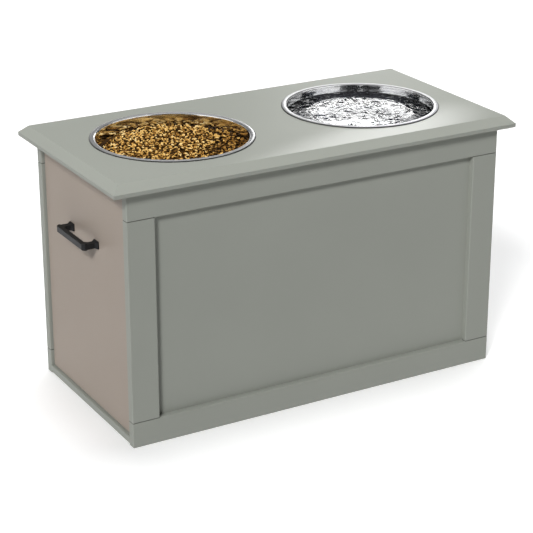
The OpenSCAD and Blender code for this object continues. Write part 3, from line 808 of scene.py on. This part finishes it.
# %% [markdown]
# ## The bowls
#
# A bowl is one steel sheet, 0.8 mm thick. Its outline starts in the middle of the bottom, runs out
# and up the wall, rolls over the rim to the outer lip, and comes back on the other side of the sheet.
# The wall is a quadratic curve that leaves the mouth nearly upright and meets the bottom flat.

# %% Bowl outline
sheet = 0.8
foot_r = 70.0
rim_w = 8.0
rim_low = 0.2
wall_lean = 0.12
low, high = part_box("bowl_left")
top_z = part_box("top_board")[1].z
rim_r = (high.x - low.x) / 2 / MM
rim_h = (high.z - top_z) / MM
depth = (top_z - low.z) / MM
mouth_r = rim_r - rim_w


def wall_point(t, away=0.0):
    """A point of the wall's inner skin, or one that lies away from it, towards the outside."""
    lean = (mouth_r - foot_r) * wall_lean
    u, fall = 1 - t, depth - sheet
    r = u * u * mouth_r + 2 * u * t * (mouth_r - lean) + t * t * foot_r
    dr = -2 * u * lean + 2 * t * (foot_r - mouth_r + lean)
    dz = -2 * fall * u
    size = math.hypot(dr, dz) or 1.0
    return r - away * dz / size, -fall * (2 * t - t * t) + away * dr / size


def wall(away, start, end, steps):
    return [wall_point(start + (end - start) * i / steps, away) for i in range(steps + 1)]


def bowl_outline():
    rim_centre = (mouth_r + rim_w / 2, rim_low)
    inner = [(r, -depth + sheet) for r in np.linspace(0, foot_r, 15)[:-1]]
    over = arc(rim_centre, (rim_w / 2, rim_h - rim_low), 180, 0, 18)
    under = arc(rim_centre, (rim_w / 2 - sheet, rim_h - rim_low - sheet), 0, 180, 18)
    outer = [(r, -depth) for r in np.linspace(foot_r, 0, 15)[1:]]
    return inner + wall(0, 0.999, 0.02, 40) + over + under + wall(sheet, 0.02, 0.999, 40) + outer


print("bowl:", round(rim_r * 2), "mm across,", round(depth), "mm deep,", len(bowl_outline()), "points")

# %% [markdown]
# ## The two bowls
#
# Both are spun from one outline, and only their finish differs. The right one holds the water, so the
# faces of its inner skin below the rim take a second material, with a painted dark reflection.

# %% Bowls
bowls = {}
for side, axis_x in bowl_axis.items():
    bowls[side] = spun("steel_bowl_" + side, bowl_outline(), 144, bowl_steel[side], (axis_x, 0, top_z))
    dress(bowls[side], "bowl_" + side)
# The second material paints the wall under the water with a dark reflection.
bowls["right"].data.materials.append(painted_dark_steel)
for face in bowls["right"].data.polygons:
    inward = face.normal.x * (face.center.x - bowl_axis["right"]) + face.normal.y * face.center.y < 0
    if face.center.z < top_z - 2 * MM and (inward or face.normal.z > 0.9):
        face.material_index = 1
print("bowls:", len(bowls["left"].data.polygons), "faces each")

# %% [markdown]
# ## The water
#
# The water fills the right bowl up to its level. Its body is spun like the bowl, a hair wider than
# the wall's inner skin, so that no air shows between water and steel. A second tree lifts the points
# of its upper face into ripples: rings from three places where it was touched, and small waves.

# %% Rippled water
water_drop = 9.0
ripple_h = 0.35


def ripple_recipe():
    r = Recipe("ripples", level="size", height="size", reach="size", axis="size", material="material")
    place = r.node("GeometryNodeInputPosition").out()
    x, y, z = r.apart(place)
    height, reach = r.given.out("height"), r.given.out("reach")
    across = x - r.given.out("axis")
    lift = 0.0
    touches = (0.35, -0.2, 0.011, 0.30), (-0.5, 0.3, 0.014, 0.34), (0.1, 0.6, 0.009, 0.22)
    for dx, dy, length, share in touches:
        away = ((across - reach * dx) ** 2.0 + (y - reach * dy) ** 2.0) ** 0.5
        rings = (away * (math.tau / length)).math("SINE")
        lift = rings * ((away * -14.0).math("EXPONENT")) * share + lift
    for size, share in ((0.020, 0.9), (0.008, 0.75)):
        noise = r.node("ShaderNodeTexNoise", {}, {
            "Vector": place, "Scale": 1 / size, "Detail": 1.5, "Distortion": 0.8}).out("Fac")
        lift = (noise - 0.5) * share * 2.0 + lift
    top = z.math("GREATER_THAN", r.given.out("level"))
    offset = r.joined(0.0, 0.0, lift * height)
    r.give(r.node("GeometryNodeSetPosition", {}, {
        "Geometry": r.given.out("Geometry"), "Selection": top, "Offset": offset}).out())
    return r


def share_at(drop):
    """The wall's share at which it lies that far below the top face."""
    return 1 - math.sqrt(1 - drop / (depth - sheet))


overlap = 0.15
edge = wall_point(share_at(water_drop), overlap)
water_outline = ([(edge[0] * i / 70, edge[1]) for i in range(70)]
                 + wall(overlap, share_at(water_drop), 0.999, 24)
                 + [(foot_r * i / 6, -depth + sheet - overlap) for i in range(5, -1, -1)])
water = spun("rippled_water", water_outline, 360, water_skin, (bowl_axis["right"], 0, top_z))
ripple_recipe().run(water, level=top_z - (water_drop + 0.1) * MM, height=ripple_h * MM, reach=edge[0] * MM,
                    axis=bowl_axis["right"], material=water_skin)
dress(water, "water")
print("water:", len(water.data.polygons), "faces,", water_drop, "mm below the top face")

# %% [markdown]
# ## The dry food
#
# More than three thousand pellets lie in the left bowl. They could be dropped by a physics engine,
# but a rule is faster and gives the same heap each time: a pellet takes the best of a few random
# spots, and comes to rest on the pellets that are there already, or on the deep layer under them.
# The heap has a crown in the middle, and it is scooped lower at one side.

# %% Places in the heap
food_drop = 11.0
food_crown = 4.0
food_dip = 8.0
pellet_r = 2.3
pellet_gap = 1.85
pellet_sink = 2.6
poke_out = 1.0
heap_rng = np.random.default_rng(7)


def sideways(x, y):
    """How far a spot lies away from the scooped side."""
    return 0.87 * x - 0.5 * y


def heap_top(x, y):
    reach = wall_point(share_at(food_drop))[0]
    r = np.hypot(x, y) / reach
    hills = 0.9 * np.sin(x / 13.0 + 1.0) * np.cos(y / 17.0) + 0.6 * np.sin((x - y) / 9.0)
    scooped = np.clip(-sideways(x, y) / reach * 1.6 - 0.5, 0, 1) ** 2
    crown = food_crown * (1 - r * r)
    return -food_drop + crown - pellet_sink + hills * (1 - r ** 4) - food_dip * scooped


def heap_places(limit_r, under, wanted, tries):
    """Each pellet takes the spot, out of a few, where it would come to rest lowest against the heap."""
    spots = np.zeros((wanted, 4))
    for made in range(wanted):
        angle = heap_rng.uniform(0, math.tau, tries)
        radius = limit_r * np.sqrt(heap_rng.uniform(0, 1, tries))
        x, y = radius * np.cos(angle), radius * np.sin(angle)
        full = heap_top(x, y)
        near2 = (x[:, None] - spots[:made, 0]) ** 2 + (y[:, None] - spots[:made, 1]) ** 2
        climb = np.sqrt(np.maximum(4 * pellet_gap ** 2 - near2, 0)) * 0.7
        rest = np.where(climb > 0, spots[:made, 2] + climb, -1000.0).max(axis=1, initial=-1000.0)
        rest = np.maximum(rest, full - under)
        best = int((rest - full).argmin())
        height = min(rest[best], full[best] + poke_out)
        spots[made] = x[best], y[best], height, (full[best] + poke_out - height) / (under + poke_out)
    return spots


places = heap_places(wall_point(share_at(food_drop))[0] - pellet_r, under=4.0, wanted=3600, tries=26)
print("heap:", len(places), "pellets, highest", round(places[:, 2].max(), 1), "mm")


# %% [markdown]
# ## The pellets
#
# The food is baked in little rings, many of them broken. A ring is a tube bent round, and the broken
# ones stop early with tapered ends. They are small and there are thousands of them, so a few dozen
# faces each must do.

# %% Pellet shapes
def ring_mesh(name, ring_r, tube, flat, turn=1.0, around=7, section=5):
    bm = bmesh.new()
    closed = turn >= 1.0
    rings = []
    for i in range(around if closed else around + 1):
        a = math.tau * turn * i / around
        end = 1.0 if closed or 0 < i < around else 0.5
        rings.append([bm.verts.new((
            (ring_r + tube * end * math.cos(b)) * math.cos(a) * MM,
            (ring_r + tube * end * math.cos(b)) * math.sin(a) * MM,
            tube * flat * end * math.sin(b) * MM)) for b in np.arange(section) * math.tau / section])
    for i in range(len(rings) if closed else len(rings) - 1):
        now, after = rings[i], rings[(i + 1) % len(rings)]
        for k in range(section):
            bm.faces.new((now[k], after[k], after[(k + 1) % section], now[(k + 1) % section]))
    if not closed:
        bm.faces.new(rings[0])
        bm.faces.new(rings[-1])
    bmesh.ops.recalc_face_normals(bm, faces=bm.faces)
    return as_mesh(bm, name)


pellets = bpy.data.collections.new("pellets")
shapes = {"ring": ring_mesh("ring", 1.60, 0.86, 1.0),
          "hook": ring_mesh("hook", 1.75, 0.94, 1.0, turn=0.6, around=5),
          "half_ring": ring_mesh("half_ring", 1.9, 1.05, 0.95, turn=0.42, around=4),
          "stub": ring_mesh("stub", 2.1, 1.15, 0.9, turn=0.30, around=4)}
for name, mesh in shapes.items():
    pellets.objects.link(bpy.data.objects.new(name, mesh))
print("pellet shapes:", {name: len(mesh.polygons) for name, mesh in shapes.items()})


# %% [markdown]
# ## Setting the pellets
#
# A tree sets one pellet on each point. It picks a shape, then tilts, turns and scales it at random
# with a fixed seed, and stores its `bake` value before it becomes real mesh.

# %% The heap's tree
def heap_recipe():
    r = Recipe("heap_of_pellets", pellets="collection", tilt="size", grow="size", seed="count",
               material="material")

    def random(low, high, shift, vector=False):
        kind, first = ("FLOAT_VECTOR", 0) if vector else ("FLOAT", 2)
        return r.node("FunctionNodeRandomValue", {"data_type": kind}, {
            first: low, first + 1: high, "Seed": r.given.out("seed") + shift}).out(0 if vector else 1)

    shapes = r.node("GeometryNodeCollectionInfo", {"transform_space": "ORIGINAL"}, {
        "Collection": r.given.out("pellets"), "Separate Children": True, "Reset Children": True}).out()
    points = r.node("GeometryNodeMeshToPoints", {}, {"Mesh": r.given.out("Geometry")}).out()
    tilt = r.given.out("tilt")
    turns = random((-1, -1, -math.tau), (1, 1, math.tau), 1, vector=True)
    x, y, z = r.apart(turns)
    rotation = r.joined(x * tilt, y * tilt, z)
    spread = r.given.out("grow")
    scale = random(0.0, 1.0, 2) * spread * 2.0 + (1.0 - spread)
    made = r.node("GeometryNodeInstanceOnPoints", {}, {
        "Points": points, "Instance": shapes, "Pick Instance": True, "Rotation": rotation,
        "Scale": scale}).out()
    baked = r.node("GeometryNodeStoreNamedAttribute", {"data_type": "FLOAT", "domain": "INSTANCE"}, {
        "Geometry": made, "Name": "bake", "Value": random(0.0, 1.0, 3)}).out()
    r.give(r.node("GeometryNodeRealizeInstances", {}, {"Geometry": baked}).out())
    return r


# %% [markdown]
# ## The heap
#
# Each point also carries its height and how deep it lies in the heap, because deep pellets are
# painted darker, as painted shade. Those in the wall's shade, on the side that isn't scooped, count as
# lying a little deeper, so they are painted darker too.

# %% The heap
# Painted shade: pellets on the side away from the scooped side count as deeper, so they are painted darker.
shade_from, shade_to, shade = 30, 85, 0.22
away = sideways(places[:, 0], places[:, 1])
places[:, 3] += np.clip((away - shade_from) / (shade_to - shade_from), 0, 1) * shade
spots = bpy.data.meshes.new("food_heap")
spots.from_pydata([(x * MM + bowl_axis["left"], y * MM, z * MM + top_z) for x, y, z, _ in places], [], [])
spots.attributes.new("sunk", "FLOAT", "POINT").data.foreach_set("value", places[:, 3].astype(np.float32))
middles = np.array([v.co.z for v in spots.vertices], np.float32)
spots.attributes.new("middle", "FLOAT", "POINT").data.foreach_set("value", middles)
heap = heap_recipe().run(new_object("food_heap", spots), pellets=pellets, tilt=0.75, grow=0.14, seed=11,
                         material=dry_food)
dress(heap, "food")
print("food:", sum(len(p.vertices) - 2 for p in heap.data.polygons), "triangles")

# %% [markdown]
# ## Under the pellets
#
# Only the upper pellets can be seen, so what lies under them is one spun solid, painted near black as
# painted shade in the gaps. It follows the same heap a few millimetres lower, closes the gaps, and
# fills the bowl to its bottom.

# %% The deep layer
filler_drop = 5.0
filler_reach = wall_point(share_at(food_drop + 3))[0] - 0.3
filler_outline = ([(filler_reach * i / 40, 0.0) for i in range(41)]
                  + wall(-0.3, share_at(food_drop + 6), 0.999, 16)
                  + [(foot_r * i / 4, -depth + sheet + 0.3) for i in range(3, -1, -1)])
filler = spun("food_depth", filler_outline, 96, gap_shade_food)
for v in filler.data.vertices:
    if v.co.z > -0.5 * MM:
        v.co.z = (heap_top(v.co.x / MM, v.co.y / MM) - filler_drop) * MM
filler.data.transform(Matrix.Translation((bowl_axis["left"], 0, top_z)))
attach(filler, body_of["food"])
print("deep layer:", len(filler.data.polygons), "faces")

# %% [markdown]
# ## The camera
#
# The station is seen from the front left and a little from above, more than two metres away. A long
# lens keeps its edges almost parallel, as in a catalogue.

# %% Camera
camera = new_object("camera", bpy.data.cameras.new("camera"))
tilt_down, turn_right = math.radians(21.662), math.radians(29.836)
camera.location = (-1.1221, -1.9501, 1.0424)
camera.rotation_euler = (math.pi / 2 - tilt_down, 0, -turn_right)
camera.data.lens, camera.data.sensor_width = 117.8, 36
bpy.context.scene.camera = camera
print("camera:", round(camera.location.length, 2), "m from the origin, lens", camera.data.lens)

# %% [markdown]
# ## The floor
#
# The station stands on a plain pale floor in a studio. The floor glows faintly, which keeps it almost
# white, and it throws no light on the boards: a lamp from below does that, and is easier to set.

# %% Floor
far = 8
floor_mesh = bpy.data.meshes.new("floor")
floor_mesh.from_pydata([(-far, -far, 0), (far, -far, 0), (far, far, 0), (-far, far, 0)], [], [(0, 1, 2, 3)])
floor = new_object("floor", floor_mesh)
f = Finish("pale_floor")
floor_mesh.materials.append(f.wear(base_color=(0.97, 0.97, 0.97, 1), roughness=1.0,
                                   emission_color=(1, 1, 1, 1), emission_strength=0.17))
floor.visible_diffuse = False
floor.visible_shadow = False

world = bpy.data.worlds.new("studio")
world.use_nodes = True
backdrop = world.node_tree.nodes["Background"].inputs
backdrop["Color"].default_value = (0.9, 0.95, 1.0, 1)
backdrop["Strength"].default_value = 0.02
bpy.context.scene.world = world
print("floor:", 2 * far, "m wide")

# %% [markdown]
# ## Lamps and cards
#
# Matt boards and polished steel need different lights. A board shows how much light falls on it, and
# steel shows the lamp itself. So soft suns are there for the boards only, and bright cards for the
# steel only.

# %% Kinds of light
def lamp(name, kind, place, aim, mirrored, **settings):
    """A mirrored lamp is seen in polished pieces only, and any other lights the matt ones only."""
    light = bpy.data.lights.new(name, kind)
    for label, value in settings.items():
        setattr(light, label, value)
    made = new_object(name, light)
    made.location = place
    made.rotation_euler = (Vector(aim) - Vector(place)).to_track_quat("-Z", "Y").to_euler()
    made.visible_camera = False
    made.visible_glossy = made.visible_transmission = mirrored
    made.visible_diffuse = not mirrored
    return made


def soft_sun(name, towards, strength, spread):
    """strength is what a white face turned to it would show, where 1 is white."""
    return lamp(name, "SUN", towards, (0, 0, 0), False, energy=strength * math.pi, angle=math.radians(spread))


def card(name, place, aim, size, radiance):
    """Blender's area light shows its power divided by four times its area."""
    return lamp(name, "AREA", place, aim, True, shape="RECTANGLE", size=size[0], size_y=size[1],
                energy=4 * radiance * size[0] * size[1])


def card_round(name, azimuth, elevation, distance, size, radiance):
    """A card round the bowls, aimed at them. Its azimuth runs from +Y towards +X."""
    bowls_at = Vector((0, 0, 0.36))
    turn, rise = math.radians(azimuth), math.radians(elevation)
    away = Vector((math.cos(rise) * math.sin(turn), math.cos(rise) * math.cos(turn), math.sin(rise)))
    return card(name, bowls_at + away * distance, bowls_at, size, radiance)


# %% [markdown]
# ## Where the lights stand
#
# The key light comes from the front left. A light from below stands in for what the floor throws
# back, and a narrow spot from the right makes the glare along the top's front edge. The cards stand
# round the bowls, and the smallest is behind them, where the water's calm middle mirrors it.

# %% Lights
soft_sun("key_light", (-0.60, -0.53, 0.595), 0.76, 14)
soft_sun("top_light", (0.14, 0.14, 0.98), 0.675, 30)
soft_sun("floor_light", (0.0, 0.0, -1.0), 0.70, 160)
lamp("edge_spot", "SPOT", (1.35, 0.33, 0.80), (0.06, -0.155, 0.36), False, energy=255,
     color=(1.0, 0.96, 1.07), spot_size=math.radians(7), spot_blend=1.0, shadow_soft_size=0.02)
card_round("left_card", 278, 14, 1.9, (2.5, 1.5), 1.3)
card_round("right_card", 141, 14, 1.9, (2.7, 1.5), 1.3)
card_round("far_left_card", 335, 12, 2.2, (1.5, 1.3), 0.3)
card_round("far_right_card", 82, 12, 2.2, (1.5, 1.3), 0.3)
card_round("back_card", 30, 1, 3.2, (4.4, 0.7), 0.9)
card_round("overhead_card", 210, 89, 1.6, (3.4, 3.4), 0.36)
card("water_card", (1.303, 1.763, 0.976), (0.145, 0, 0.351), (0.46, 0.31), 3.9)
bpy.context.scene.view_settings.view_transform = "Standard"
print("lights:", len(bpy.data.lights))
